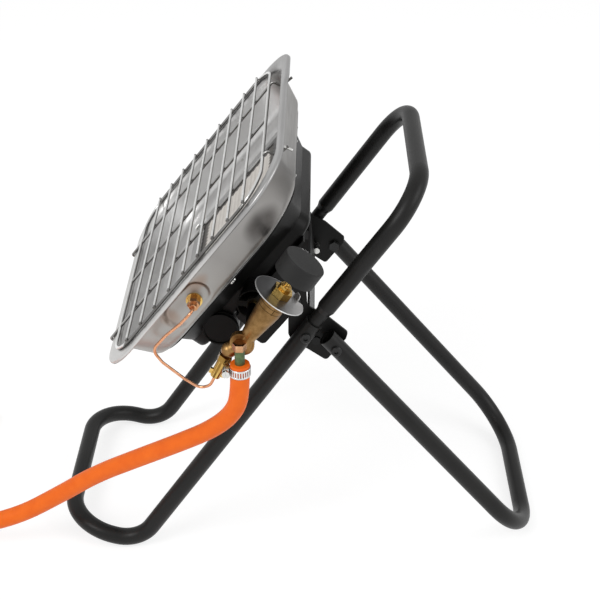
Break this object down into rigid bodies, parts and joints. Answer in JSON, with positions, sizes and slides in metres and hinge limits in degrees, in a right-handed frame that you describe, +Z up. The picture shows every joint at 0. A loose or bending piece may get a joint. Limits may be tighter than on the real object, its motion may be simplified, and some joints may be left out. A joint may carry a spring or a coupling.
{
  "type": "portable propane heater",
  "caption": "Portable propane radiant heater: tilted dish reflector with ceramic burner and wire guard on a folding tube stand, with valve, knob and orange gas hose.",
  "frame": {"origin": "on the floor under the middle of the heater's box, without its free hose", "axes": "+X toward the valve side, -Y the way the dish faces, +Z up"},
  "size_m": [0.3106, 0.7564, 0.4086],
  "materials": {
    "black_tube": "satin black powder coat",
    "black_sheet": "satin black powder coat",
    "black_bolt": "black oxide",
    "zinc": "bright zinc",
    "stainless_dish": "brushed, heat stained",
    "guard_wire": "polished wire",
    "stainless_sheet": "satin",
    "ceramic": "matte, perforated",
    "ceramic_fibre": "matte",
    "brass": "as turned",
    "copper": "bright",
    "green_tail": "green sealant",
    "probe_steel": "satin",
    "black_knob": "matte",
    "orange_hose": "satin"
  },
  "bodies": {
    "heater": {"front_leg": "black_tube", "carry_handle": "black_tube", "stand_bracket": "black_sheet", "head_bracket": "black_sheet", "burner_housing": "black_sheet", "air_horn": "black_sheet", "mixing_tube": "black_sheet", "mixer_end_cap": "black_sheet", "leg_bolts": "black_bolt", "leg_nuts": "black_bolt", "pivot_bolts": "black_bolt", "pivot_nuts": "black_bolt", "head_bolts": "black_bolt", "head_nuts": "black_bolt", "stop_bolts": "zinc", "housing_screws": "zinc", "yoke_screws": "zinc", "retainer_screws": "zinc", "hose_ferrule": "zinc", "clamp_screw": "zinc", "dish_reflector": "stainless_dish", "wire_guard": "guard_wire", "plaque_retainer": "stainless_sheet", "tile_tray": "stainless_sheet", "diffuser_plate": "stainless_sheet", "hose_clamp": "stainless_sheet", "flame_shield": "stainless_sheet", "ceramic_plaques": "ceramic", "plaque_gasket": "ceramic_fibre", "valve_body": "brass", "valve_bonnet": "brass", "bonnet_nut": "brass", "gland_nut": "brass", "injector": "brass", "safety_magnet": "brass", "thermocouple_nut": "brass", "inlet_elbow": "copper", "capillary_tube": "copper", "sensor_nut": "copper", "sensor_washer": "copper", "hose_tail": "green_tail", "thermocouple_probe": "probe_steel", "gas_hose": "orange_hose", "hose_coil": "orange_hose", "hose_end_run": "orange_hose"},
    "rear_frame": {"rear_leg": "black_tube"},
    "tap": {"tap_plug": "brass"},
    "knob": {"valve_spindle": "brass", "return_spring": "stainless_sheet", "control_knob": "black_knob"},
    "union": {"coupling_nut": "brass"}
  },
  "joints": [
    {"name": "rear_leg_fold", "type": "hinge", "parent": "heater", "child": "rear_frame", "pos_m": [-0.0143, 0.03125, 0.22209], "axis": [-1, 0, 0], "range_deg": [0, 70]},
    {"name": "knob_turn", "type": "hinge", "parent": "heater", "child": "tap", "pos_m": [0.1327, -0.04495, 0.2568], "axis": [0, 0.5505, 0.8348], "range_deg": [0, 90]},
    {"name": "knob_push", "type": "slide", "parent": "tap", "child": "knob", "axis": [0, -0.5505, -0.8348], "range_m": [0, 0.003], "stiffness_N_per_m": 600},
    {"name": "coupling_spin", "type": "hinge", "parent": "heater", "child": "union", "pos_m": [-0.0963, -0.3497, 0.013], "axis": [0, 1, 0], "continuous": true}
  ]
}
